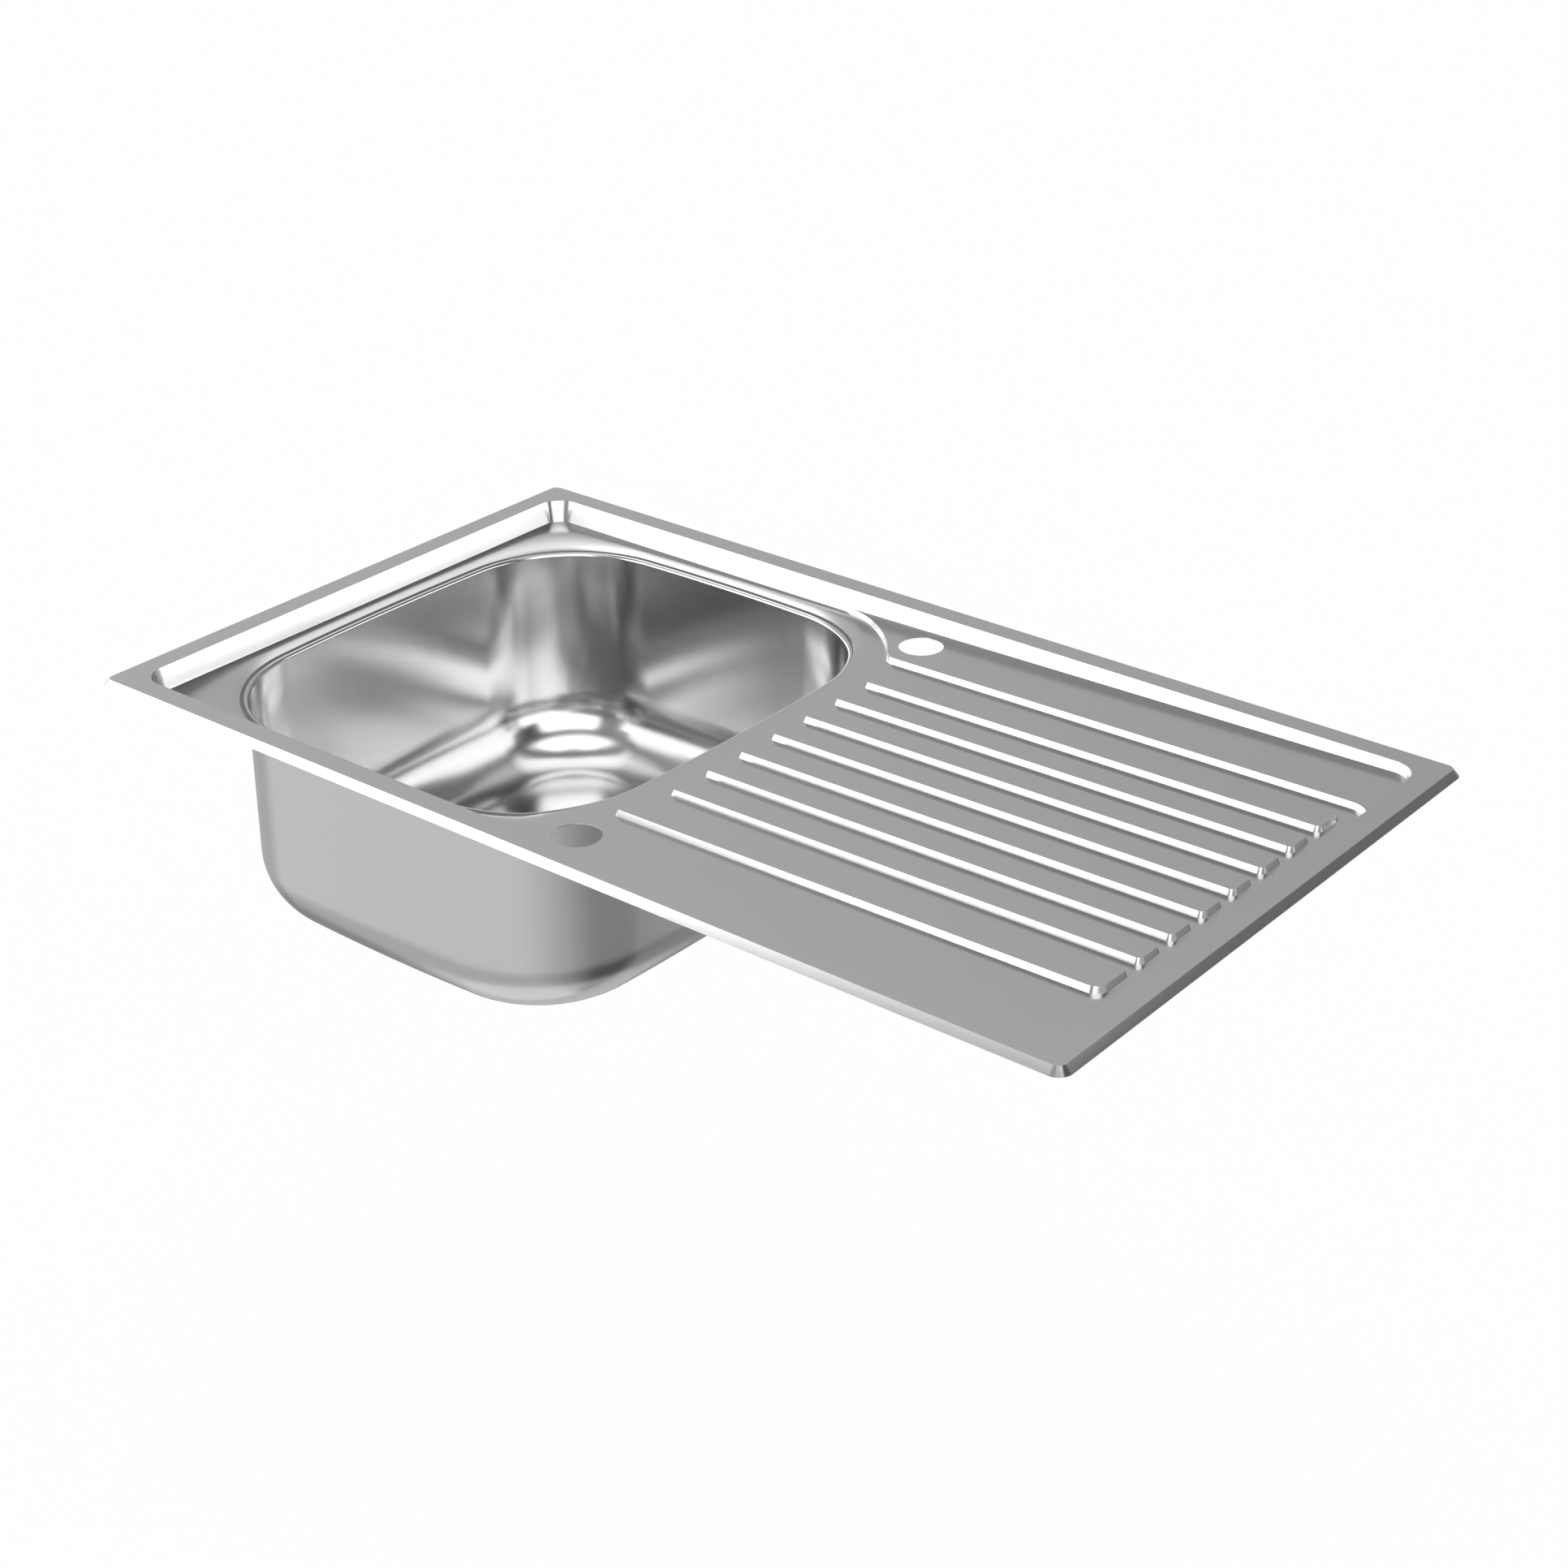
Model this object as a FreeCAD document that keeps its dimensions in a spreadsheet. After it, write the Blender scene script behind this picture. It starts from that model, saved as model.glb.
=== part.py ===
"""Inset kitchen sink, 860 x 500 mm: one bowl, a ribbed drainboard on its right and a tap ledge behind it.

Frame: X along the length (drainboard at +X), Y towards the wall, Z up. The origin is the centre of the
rim's outline on the plane of the worktop, where the lower edge of the rim rests. Millimetres.
"""
import FreeCAD, Part
import os

import Sketcher

Vector = FreeCAD.Vector
Rotation = FreeCAD.Rotation
Placement = FreeCAD.Placement

SIZES = {
    # rim and recess of the deck pressing
    "rim_length": 860.0,
    "rim_width": 500.0,
    "rim_rise": 5.4,
    "bevel_run": 4.6,
    "rim_corner": 10.6,
    "rim_flat": 17.4,
    "recess_depth": 17.1,
    "recess_run": 2.5,
    "recess_corner": 20.0,
    "deck_sheet": 0.8,
    "wall_sheet": 1.0,
    "overlap": 0.001,
    # drainboard, which falls towards the bowl
    "fold_gap": 13.2,
    "drain_fall": 0.745,
    "press_rise": 4.4,
    "press_run": 1.8,
    "rib_left": 12.2,
    "rib_right_gap": 16.3,
    "rib_width": 25.6,
    "rib_pitch": 37.1,
    "rib_left_corner": 3.4,
    "rib_right_corner": 6.0,
    "rib_outer_corner": 10.2,
    "front_rib_left": 1.3,
    "front_rib_width": 34.6,
    "front_rib_inset": 79.0,
    "back_rib_gap": 13.9,
    "back_rib_least": 20.0,
    # tap ledge
    "ledge_depth": 62.0,
    "ledge_start": -90.6,
    "ledge_bend_x": -38.4,
    "ledge_bend_inset": 14.7,
    "ledge_bend_radius": 129.0,
    "ledge_knee_x": -1.3,
    "ledge_knee_radius": 12.0,
    "ledge_end_radius": 18.0,
    "ledge_end_gap": 0.9,
    "ledge_end_length": 20.0,
    # tap holes
    "tap_hole": 35.0,
    "back_hole_offset": 7.8,
    "back_hole_inset": 29.5,
    "front_hole_offset": 1.5,
    "front_hole_inset": 41.5,
    # bowl pressing
    "bowl_left_gap": 24.0,
    "bowl_side_gap": 24.3,
    "bowl_length": 360.8,
    "bowl_side_radius": 2270.0,
    "bowl_end_radius": 1850.0,
    "bowl_corner": 99.6,
    "bowl_depth": 180.7,
    "bowl_bottom_radius": 55.0,
    "bowl_sheet": 1.0,
    "lip_drop": 2.3,
    "lip_radius": 2.8,
    "lip_width": 3.6,
    "flange_width": 13.0,
    "step_drop": 3.0,
    "step_run": 7.1,
    "seam_width": 2.0,
    "seam_rise": 0.5,
    "seam_gap": 0.05,
    # waste seat and waste fitting
    "seat_radius": 60.0,
    "seat_taper": 4.0,
    "seat_depth": 6.0,
    "waste_hole": 45.0,
    "seal_inner": 46.0,
    "seal_outer": 54.0,
    "seal_rise": 2.0,
    "strainer_flange": 55.0,
    "strainer_sheet": 1.0,
    "strainer_radius": 42.0,
    "strainer_depth": 34.0,
    "outlet_opening": 22.0,
    "spoke_width": 3.0,
    "hub_radius": 7.0,
    "hub_rise": 6.0,
    "cup_base_slope": 3.0,
    "screw_radius": 3.0,
    "screw_clearance": 0.2,
    "thread_clearance": 0.05,
    "screw_head": 5.0,
    "screw_head_rise": 2.5,
    "screw_length": 21.0,
    "body_flange_radius": 56.0,
    "body_flange": 3.0,
    "body_wall": 2.0,
    "body_clearance": 1.5,
    "body_depth": 38.0,
    "body_cone": 10.0,
    "outlet_radius": 23.9,
    "outlet_bore": 20.0,
    "outlet_length": 22.0,
    "plug_inner": 8.0,
    "plug_outer": 27.0,
    "plug_rise": 4.0,
    "basket_base": 30.0,
    "basket_mouth": 37.0,
    "basket_brim": 40.3,
    "basket_rise": 25.0,
    "basket_sheet": 0.8,
    "basket_holes": 12.0,
    "basket_hole": 2.5,
    "basket_hole_rise": 9.0,
    "stem_radius": 2.5,
    "stem_length": 22.0,
    "knob_radius": 9.0,
    "knob_rise": 6.0,
    "knob_slope": 2.0,
    # rim gasket and damping pad
    "gasket_inset": 7.0,
    "gasket_width": 8.0,
    "gasket_corner": 8.0,
    "pad_rise": 2.0,
    "pad_hole": 66.0,
    "pad_margin": 12.0,
    # fixing rails
    "rail_start_gap": 35.0,
    "rail_end_inset": 12.0,
    "rail_width": 16.0,
    "rail_level": 14.5,
    "rail_sheet": 1.2,
    # fixing clips
    "clip_left_inset": 44.0,
    "clip_middle_gap": 60.0,
    "clip_right_inset": 80.0,
    "clip_inset": 44.0,
    "bracket_width": 20.0,
    "bracket_depth": 14.0,
    "bracket_sheet": 1.2,
    "ear_radius": 3.4,
    "pivot_drop": 6.0,
    "pin_radius": 1.9,
    "pin_clearance": 0.06,
    "pin_end": 0.4,
    "arm_width": 14.0,
    "arm_rise": 4.4,
    "arm_tail": 3.0,
    "arm_waist": 10.0,
    "arm_neck": 9.0,
    "arm_reach": 38.0,
    "boss_radius": 5.5,
    "boss_rise": 9.0,
    "clamp_radius": 2.5,
    "clamp_clearance": 0.06,
    "clamp_length": 18.0,
    "clamp_above": 4.7,
    "foot_radius": 4.5,
    "foot_rise": 3.0,
}

doc = FreeCAD.newDocument("kitchen_sink")
sheet = doc.addObject("Spreadsheet::Sheet", "dims")
for row, (alias, size) in enumerate(SIZES.items(), start=1):
    sheet.set(f"A{row}", alias)
    sheet.set(f"B{row}", str(size))
    sheet.setAlias(f"B{row}", alias)
doc.recompute()

# Heights above the worktop plane, as expressions of the driving sizes.
RIM_TOP = "dims.rim_rise"
FLOOR = "(dims.rim_rise - dims.recess_depth)"
FLOOR_UNDER = "(dims.rim_rise - dims.recess_depth - dims.deck_sheet)"
STEP_FOOT = "(dims.rim_rise - dims.recess_depth - dims.step_drop)"
FLANGE_TOP = "(dims.rim_rise - dims.recess_depth - dims.step_drop - dims.deck_sheet)"
LIP_TOP = "(dims.rim_rise - dims.recess_depth - dims.lip_drop)"
BOWL_UNDER = "(dims.rim_rise - dims.recess_depth - dims.lip_drop - dims.bowl_depth)"
BOWL_FLOOR = f"({BOWL_UNDER} + dims.bowl_sheet)"
SEAT_FLOOR = f"({BOWL_FLOOR} - dims.seat_depth)"
SEAT_UNDER = f"({BOWL_UNDER} - dims.seat_depth)"
STRAINER_TOP = f"({SEAT_FLOOR} + dims.seal_rise + dims.strainer_sheet)"
STRAINER_FLOOR = f"({SEAT_FLOOR} + dims.seal_rise - dims.strainer_depth + dims.strainer_sheet)"
BODY_TOP = f"({SEAT_UNDER} - dims.seal_rise)"
BASKET_LOW = f"({STRAINER_FLOOR} + dims.plug_rise)"

# Plan places and sizes: the bowl stands at the left end of the recess, the fold follows it, and the
# drainboard takes what is left.
RECESS_X = "(dims.rim_length / 2 - dims.bevel_run - dims.rim_flat)"
RECESS_Y = "(dims.rim_width / 2 - dims.bevel_run - dims.rim_flat)"
BOWL_X = f"(dims.bowl_left_gap + dims.bowl_length / 2 - {RECESS_X})"
BOWL_HALF_Y = f"({RECESS_Y} - dims.bowl_side_gap)"
FOLD_X = f"({BOWL_X} + dims.bowl_length / 2 + dims.fold_gap)"
DECK_EDGE = "(dims.lip_width + dims.seam_width)"
STEP_EDGE = "(dims.lip_width + dims.seam_width + dims.step_run)"
CLIP_LINE = "(dims.rim_width / 2 - dims.clip_inset)"
# Length of the drainboard's floor, from the fold to the foot of the recess's right wall.
BOARD_RISE = f"(({RECESS_X} - {FOLD_X}) * tan(dims.drain_fall))"
BOARD_END = f"({RECESS_X} - {FOLD_X} - dims.recess_run * (1 - {BOARD_RISE} / dims.recess_depth))"
# Tap ledge and ribs: the ribs start behind the plain front strip, and the widest count of like ribs that
# leaves room for the wider one at the back is pressed.
LEDGE_FRONT = f"({RECESS_Y} - dims.ledge_depth)"
FRONT_RIB = f"(dims.front_rib_inset - {RECESS_Y})"
RIB_GAP = "(dims.rib_pitch - dims.rib_width)"
RIB_FIRST = f"({FRONT_RIB} + dims.front_rib_width + {RIB_GAP})"
BACK_RIB = f"({LEDGE_FRONT} - dims.back_rib_gap)"
RIB_COUNT = f"floor(({BACK_RIB} - dims.back_rib_least - {RIB_FIRST}) / dims.rib_pitch)"

# Shares of the recess wall's thickness that the pieces pressed into it reach: the drainboard's sides and
# end, the ledge's back, and the hollow under the ledge, which runs out past the wall.
SIDE_BITE, END_BITE, LEDGE_BITE, HOLLOW_REACH = 0.9, 0.5, 0.94, 3
# What is pressed up from the floor is drawn from half a sheet below it, its slope carried on that far.
SUNK = "(dims.deck_sheet / 2)"
SPREAD = f"({SUNK} * dims.press_run / dims.press_rise)"
# Cuts that go right through a sheet are made this many times as deep as it is thick.
THROUGH = 2
# Rounds of the search for the corner arcs' centres in the bowl's outline.
SEARCH_ROUNDS = 30


def number(expression):
    """Value of an expression of the sheet's sizes."""
    result = sheet.evalExpression(expression)
    return float(getattr(result, "Value", result))


def new_body(name):
    body = doc.addObject("PartDesign::Body", name)
    body.Label = name
    return body


def origin_plane(body, role):
    return next(item for item in body.Origin.OriginFeatures if item.Role == role)


def new_sketch(body, name, role="XY_Plane", x="0", y="0", z="0", tilt=None):
    """An empty sketch on a plane of the body's origin, moved by the offsets and tilted about Y."""
    sketch = body.newObject("Sketcher::SketchObject", name)
    sketch.AttachmentSupport = [(origin_plane(body, role), "")]
    sketch.MapMode = "FlatFace"
    if tilt:
        sketch.AttachmentOffset = Placement(Vector(), Rotation(Vector(0, -1, 0), number(tilt)))
        sketch.setExpression("AttachmentOffset.Rotation.Angle", tilt)
    for axis, offset in zip("xyz", (x, y, z)):
        if offset != "0":
            sketch.setExpression(f"AttachmentOffset.Base.{axis}", offset)
    return sketch


def constrain(sketch, name, constraint, expression=None):
    """Adds one named constraint, its value bound to the sheet when there is an expression."""
    index = sketch.addConstraint(constraint)
    if expression is not None:
        sketch.renameConstraint(index, name)
        sketch.setExpression(f"Constraints.{name}", expression)
    return index


def pin_point(sketch, name, geometry, position, x, y):
    """Holds a point of the sketch at x, y, both expressions."""
    for letter, kind, axis, place in (("x", "DistanceX", -2, x), ("y", "DistanceY", -1, y)):
        if place == "0":
            sketch.addConstraint(Sketcher.Constraint("PointOnObject", geometry, position, axis))
            continue
        rule = Sketcher.Constraint(kind, -1, 1, geometry, position, number(place))
        constrain(sketch, f"{name}_{letter}", rule, place)


def draw_polygon(sketch, corners, prefix="corner"):
    """Closed outline through corners (x, y, radius), anticlockwise; a radius of None is a sharp corner."""
    points = [Vector(number(x), number(y)) for x, y, radius in corners]
    rounds = []
    for place, (x, y, radius) in enumerate(corners):
        before, here, after = points[place - 1], points[place], points[(place + 1) % len(points)]
        if radius is None:
            rounds.append((here, here, None, 1))
            continue
        way_in = (here - before).normalize()
        way_out = (after - here).normalize()
        turn = way_in.cross(way_out).z
        reach = number(radius) * (1 - way_in * way_out) / abs(turn)
        start, end = here - way_in * reach, here + way_out * reach
        side = 1 if turn > 0 else -1
        centre = start + Vector(-way_in.y, way_in.x) * side * number(radius)
        middle = centre + (here - centre).normalize() * number(radius)
        arc = Part.Arc(start, middle, end)
        if side < 0:
            arc = Part.Arc(end, middle, start)
        rounds.append((start, end, arc, side))
    lines = []
    for place in range(len(corners)):
        line = Part.LineSegment(rounds[place][1], rounds[(place + 1) % len(corners)][0])
        lines.append(sketch.addGeometry(line))
    for place, (x, y, radius) in enumerate(corners):
        line_in, line_out = lines[place - 1], lines[place]
        name = f"{prefix}{place}"
        if radius is None:
            sketch.addConstraint(Sketcher.Constraint("Coincident", line_in, 2, line_out, 1))
            pin_point(sketch, name, line_out, 1, x, y)
            continue
        arc_shape, side = rounds[place][2:]
        arc = sketch.addGeometry(arc_shape)
        apex = sketch.addGeometry(Part.Point(points[place]), True)
        first, last = (1, 2) if side > 0 else (2, 1)
        sketch.addConstraint(Sketcher.Constraint("Tangent", line_in, 2, arc, first))
        sketch.addConstraint(Sketcher.Constraint("Tangent", arc, last, line_out, 1))
        sketch.addConstraint(Sketcher.Constraint("PointOnObject", apex, 1, line_in))
        sketch.addConstraint(Sketcher.Constraint("PointOnObject", apex, 1, line_out))
        pin_point(sketch, name, apex, 1, x, y)
        rule = Sketcher.Constraint("Radius", arc, number(radius))
        constrain(sketch, f"{name}_radius", rule, radius)


def draw_rectangle(sketch, half_x, half_y, radius=None, prefix="corner"):
    """Rectangle about the sketch's origin."""
    corners = [(f"-({half_x})", f"-({half_y})"), (half_x, f"-({half_y})")]
    corners += [(half_x, half_y), (f"-({half_x})", half_y)]
    draw_polygon(sketch, [(x, y, radius) for x, y in corners], prefix)


def draw_circle(sketch, name, radius, x=None, y=None):
    centre = Vector(number(x) if x else 0, number(y) if y else 0)
    circle = sketch.addGeometry(Part.Circle(centre, Vector(0, 0, 1), number(radius)))
    if x:
        pin_point(sketch, name, circle, 3, x, y)
    else:
        sketch.addConstraint(Sketcher.Constraint("Coincident", circle, 3, -1, 1))
    constrain(sketch, f"{name}_radius", Sketcher.Constraint("Radius", circle, number(radius)), radius)


def draw_bowl_outline(sketch, offset="0"):
    """The bowl's outline: four shallow side arcs joined by four corner arcs, all grown by the offset."""
    half_x, half_y = number("dims.bowl_length / 2"), number(BOWL_HALF_Y)
    side, end = number("dims.bowl_side_radius"), number("dims.bowl_end_radius")
    corner, grow = number("dims.bowl_corner"), number(offset)
    side_centre, end_centre = half_x - side, half_y - end
    u, v = half_x - corner, half_y - corner
    for step in range(SEARCH_ROUNDS):
        u = side_centre + ((side - corner) ** 2 - v * v) ** 0.5
        v = end_centre + ((end - corner) ** 2 - u * u) ** 0.5
    to_side = Vector(u - side_centre, v).normalize()
    to_end = Vector(u, v - end_centre).normalize()
    to_middle = (to_side + to_end).normalize()
    ways = (to_side, to_middle, to_end)
    side_end, corner_middle, end_start = (Vector(u, v) + way * (corner + grow) for way in ways)
    side_middle, end_middle = Vector(half_x + grow, 0), Vector(0, half_y + grow)

    def mirror(point, x_sign, y_sign):
        return Vector(point.x * x_sign, point.y * y_sign)

    loop = []
    for x_sign, y_sign in ((1, 1), (-1, 1), (-1, -1), (1, -1)):
        quarter = [mirror(point, x_sign, y_sign) for point in (side_end, corner_middle, end_start)]
        if x_sign * y_sign < 0:
            quarter.reverse()
        loop.append(quarter)
    middles = [end_middle, mirror(side_middle, -1, 1), mirror(end_middle, 1, -1), side_middle]
    arcs = []
    for place, quarter in enumerate(loop):
        arcs.append(sketch.addGeometry(Part.Arc(*quarter)))
        following = loop[(place + 1) % 4][0]
        arcs.append(sketch.addGeometry(Part.Arc(quarter[2], middles[place], following)))
    for place, arc in enumerate(arcs):
        following = arcs[(place + 1) % len(arcs)]
        sketch.addConstraint(Sketcher.Constraint("Tangent", arc, 2, following, 1))
    end_place = f"({BOWL_HALF_Y} - dims.bowl_end_radius)"
    side_place = "(dims.bowl_length / 2 - dims.bowl_side_radius)"
    sides = [("end", "DistanceY", -2, end_place), ("side", "DistanceX", -1, f"-{side_place}")]
    sides += [("end", "DistanceY", -2, f"-{end_place}"), ("side", "DistanceX", -1, side_place)]
    for place, (name, direction, axis, centre) in enumerate(sides):
        arc = arcs[2 * place + 1]
        sketch.addConstraint(Sketcher.Constraint("PointOnObject", arc, 3, axis))
        rule = Sketcher.Constraint(direction, -1, 1, arc, 3, number(centre))
        constrain(sketch, f"middle{place}", rule, centre)
        radii = (f"dims.bowl_{name}_radius + {offset}", f"dims.bowl_corner + {offset}")
        for curve, radius in zip((arc, arcs[2 * place]), radii):
            rule = Sketcher.Constraint("Radius", curve, number(radius))
            constrain(sketch, f"radius{curve}", rule, radius)


def pad(body, sketch, name, length, **settings):
    feature = body.newObject("PartDesign::Pad", name)
    feature.Profile = sketch
    feature.setExpression("Length", length)
    for prop, setting in settings.items():
        setattr(feature, prop, setting)
    return feature


def pocket(body, sketch, name, length, **settings):
    """Cuts below the sketch's plane, or above it with Reversed."""
    feature = body.newObject("PartDesign::Pocket", name)
    feature.Profile = sketch
    feature.setExpression("Length", length)
    for prop, setting in settings.items():
        setattr(feature, prop, setting)
    return feature


def loft(body, kind, name, first, second):
    """Straight-sided solid between two outlines; kind is Additive or Subtractive."""
    feature = body.newObject(f"PartDesign::{kind}Loft", name)
    feature.Profile = first
    feature.Sections = [second]
    feature.Ruled = True
    return feature


def rim_outline(body, name, inset, z):
    """Rounded rectangle of the rim, drawn in by the inset."""
    sketch = new_sketch(body, name, z=z)
    half_x, half_y = f"dims.rim_length / 2 - {inset}", f"dims.rim_width / 2 - {inset}"
    draw_rectangle(sketch, half_x, half_y, f"dims.rim_corner - {inset}")
    return sketch


def recess_outline(body, name, grow, z):
    """Rounded rectangle of the recess's mouth, grown by an expression."""
    sketch = new_sketch(body, name, z=z)
    draw_rectangle(sketch, f"{RECESS_X} + {grow}", f"{RECESS_Y} + {grow}", f"dims.recess_corner + {grow}")
    return sketch


def bowl_sketch(body, name, offset, z):
    sketch = new_sketch(body, name, x=BOWL_X, z=z)
    draw_bowl_outline(sketch, offset)
    return sketch


# ---- deck pressing -------------------------------------------------------------------------------


# How far the corners of the ledge's outline move when its front edge moves back by one millimetre.
START_SLIDE = 3.47
BEND_SLIDE_X, BEND_SLIDE_Y = 0.59, 0.87
KNEE_SLIDE = 0.48


def ledge_corners(shift, wall):
    """Outline of the tap ledge in the drainboard's plane, its front edge moved back by shift.

    The back and the right end run into the recess's wall by wall.
    """
    front = f"{LEDGE_FRONT} + {shift}"
    right = f"{BOARD_END} - dims.ledge_end_gap + {shift}"
    end_low = f"{LEDGE_FRONT} - dims.ledge_end_length"
    bend_y = f"{RECESS_Y} - dims.ledge_bend_inset + {shift} * {BEND_SLIDE_Y}"
    back = f"{RECESS_Y} - dims.recess_run + {wall}"
    return [
        (f"dims.ledge_start + {shift} * {START_SLIDE}", back, None),
        (f"dims.ledge_bend_x + {shift} * {BEND_SLIDE_X}", bend_y, f"dims.ledge_bend_radius + {shift}"),
        (f"dims.ledge_knee_x + {shift} * {KNEE_SLIDE}", front, f"dims.ledge_knee_radius - {shift}"),
        (right, front, f"dims.ledge_end_radius + {shift}"),
        (right, end_low, None),
        (f"{BOARD_END} + {wall}", end_low, None),
        (f"{BOARD_END} + {wall}", back, None),
    ]


def drainboard_sketch(body, name, rise="0"):
    """Empty sketch in the falling plane of the drainboard's floor, lifted square to it by rise."""
    z = f"{FLOOR} + {rise}" if rise != "0" else FLOOR
    return new_sketch(body, name, x=FOLD_X, z=z, tilt="dims.drain_fall")


def rib_corners(left, right, low, high, inset, corners):
    """Rib outline in the drainboard's plane; the corner sizes run anticlockwise from front left."""
    places = [(f"{left} + {inset}", f"{low} + {inset}"), (f"{right} - {inset}", f"{low} + {inset}")]
    places += [(f"{right} - {inset}", f"{high} - {inset}"), (f"{left} + {inset}", f"{high} - {inset}")]
    return [(x, y, f"{radius} - {inset}") for (x, y), radius in zip(places, corners)]


def press_rib(body, name, left, low, high, corners):
    """One raised rib: a tapered plateau above the floor and the hollow that the press leaves below it."""
    right = f"({BOARD_END} - dims.rib_right_gap)"
    levels = (("base", f"(0 - {SPREAD})", f"(0 - {SUNK})"), ("top", "dims.press_run", "dims.press_rise"))
    outlines = []
    for label, inset, rise in levels:
        sketch = drainboard_sketch(body, f"{name}_{label}", rise)
        draw_polygon(sketch, rib_corners(left, right, low, high, inset, corners))
        outlines.append(sketch)
    plateau = loft(body, "Additive", f"{name}_plateau", *outlines)
    levels = (("under", f"(dims.deck_sheet - {SPREAD})", f"(0 - dims.deck_sheet - {SUNK})"),
              ("crown", "(dims.deck_sheet + dims.press_run)", "(dims.press_rise - dims.deck_sheet)"))
    outlines = []
    for label, inset, rise in levels:
        sketch = drainboard_sketch(body, f"{name}_{label}", rise)
        draw_polygon(sketch, rib_corners(left, right, low, high, inset, corners))
        outlines.append(sketch)
    groove = loft(body, "Subtractive", f"{name}_hollow", *outlines)
    return [plateau, groove]


def make_deck():
    """The deck: bevelled rim, sunk recess, falling ribbed drainboard, tap ledge and bowl opening."""
    body = new_body("deck")

    # Rim: a bevelled frame, hollow below; the hollow starts lower than the foot, so it leaves no skin.
    outer = rim_outline(body, "rim_foot", "0", "dims.overlap")
    top = rim_outline(body, "rim_top", "dims.bevel_run", RIM_TOP)
    loft(body, "Additive", "rim", outer, top)
    inner = rim_outline(body, "rim_foot_inside", "dims.wall_sheet", "dims.overlap / 2")
    inside, ceiling = "(dims.bevel_run + dims.wall_sheet)", f"{RIM_TOP} - dims.deck_sheet"
    inner_top = rim_outline(body, "rim_top_inside", inside, ceiling)
    loft(body, "Subtractive", "rim_hollow", inner, inner_top)

    # Recess: a shallow tub pressed down inside the rim.
    tub_top = recess_outline(body, "tub_top", "dims.wall_sheet", f"{RIM_TOP} - dims.deck_sheet / 2")
    tub_foot = recess_outline(body, "tub_foot", "(dims.wall_sheet - dims.recess_run)", FLOOR_UNDER)
    loft(body, "Additive", "tub", tub_top, tub_foot)
    mouth = recess_outline(body, "mouth", "dims.overlap", RIM_TOP)
    foot = recess_outline(body, "mouth_foot", "(0 - dims.recess_run)", FLOOR)
    loft(body, "Subtractive", "recess", mouth, foot)

    # Drainboard: the level floor ends at the fold, and a floor that rises to the right takes its place.
    near, far, wide = "dims.overlap", f"{BOARD_END} + dims.rim_flat", "dims.rim_width / 2"
    below = drainboard_sketch(body, "below_drainboard", "(0 - dims.deck_sheet)")
    draw_polygon(below, [(near, f"-{wide}", None), (far, f"-{wide}", None),
                         (far, wide, None), (near, wide, None)])
    pocket(body, below, "level_floor_cut", "dims.recess_depth")
    floor = drainboard_sketch(body, "drainboard_floor")
    floor_x = f"{BOARD_END} + dims.wall_sheet * {END_BITE}"
    floor_y = f"{RECESS_Y} - dims.recess_run + dims.wall_sheet * {SIDE_BITE}"
    floor_radius = "dims.recess_corner - dims.recess_run"
    draw_polygon(floor, [(near, f"-({floor_y})", None), (floor_x, f"-({floor_y})", floor_radius),
                         (floor_x, floor_y, floor_radius), (near, floor_y, None)])
    pad(body, floor, "drainboard", "dims.deck_sheet", Reversed=True)

    # Tap ledge: raised along the back, its front edge bending round the bowl's corner to the back wall.
    lean = "dims.recess_run / dims.recess_depth"
    foot_wall = f"(dims.wall_sheet * {LEDGE_BITE} - {SUNK} * {lean})"
    top_wall = f"(dims.wall_sheet * {LEDGE_BITE} + dims.press_rise * {lean})"
    levels = (("foot", f"(0 - {SPREAD})", foot_wall, f"(0 - {SUNK})"),
              ("top", "dims.press_run", top_wall, "dims.press_rise"))
    outlines = []
    for label, shift, wall, rise in levels:
        sketch = drainboard_sketch(body, f"ledge_{label}", rise)
        draw_polygon(sketch, ledge_corners(shift, wall))
        outlines.append(sketch)
    loft(body, "Additive", "ledge", *outlines)
    levels = (("under", f"(dims.deck_sheet - {SPREAD})", f"(0 - dims.deck_sheet - {SUNK})"),
              ("crown", "(dims.press_run + dims.deck_sheet)", "(dims.press_rise - dims.deck_sheet)"))
    outlines = []
    for label, shift, rise in levels:
        sketch = drainboard_sketch(body, f"ledge_{label}", rise)
        draw_polygon(sketch, ledge_corners(shift, f"dims.wall_sheet * {HOLLOW_REACH}"))
        outlines.append(sketch)
    loft(body, "Subtractive", "ledge_hollow", *outlines)

    # Ribs: a row alike in the middle, a wider one at each side with one large corner.
    small, medium, large = "dims.rib_left_corner", "dims.rib_right_corner", "dims.rib_outer_corner"
    high = f"{RIB_FIRST} + dims.rib_width"
    middle = press_rib(body, "rib", "dims.rib_left", RIB_FIRST, high, (small, medium, medium, small))
    pattern = body.newObject("PartDesign::LinearPattern", "ribs")
    pattern.Originals = middle
    pattern.Direction = (origin_plane(body, "Y_Axis"), [""])
    pattern.setExpression("Length", f"dims.rib_pitch * ({RIB_COUNT} - 1)")
    pattern.setExpression("Occurrences", RIB_COUNT)
    body.Tip = pattern
    high = f"{FRONT_RIB} + dims.front_rib_width"
    press_rib(body, "front_rib", "dims.front_rib_left", FRONT_RIB, high, (small, large, medium, small))
    low = f"{RIB_FIRST} + dims.rib_pitch * {RIB_COUNT}"
    press_rib(body, "back_rib", "dims.rib_left", low, BACK_RIB, (small, medium, large, small))

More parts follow.
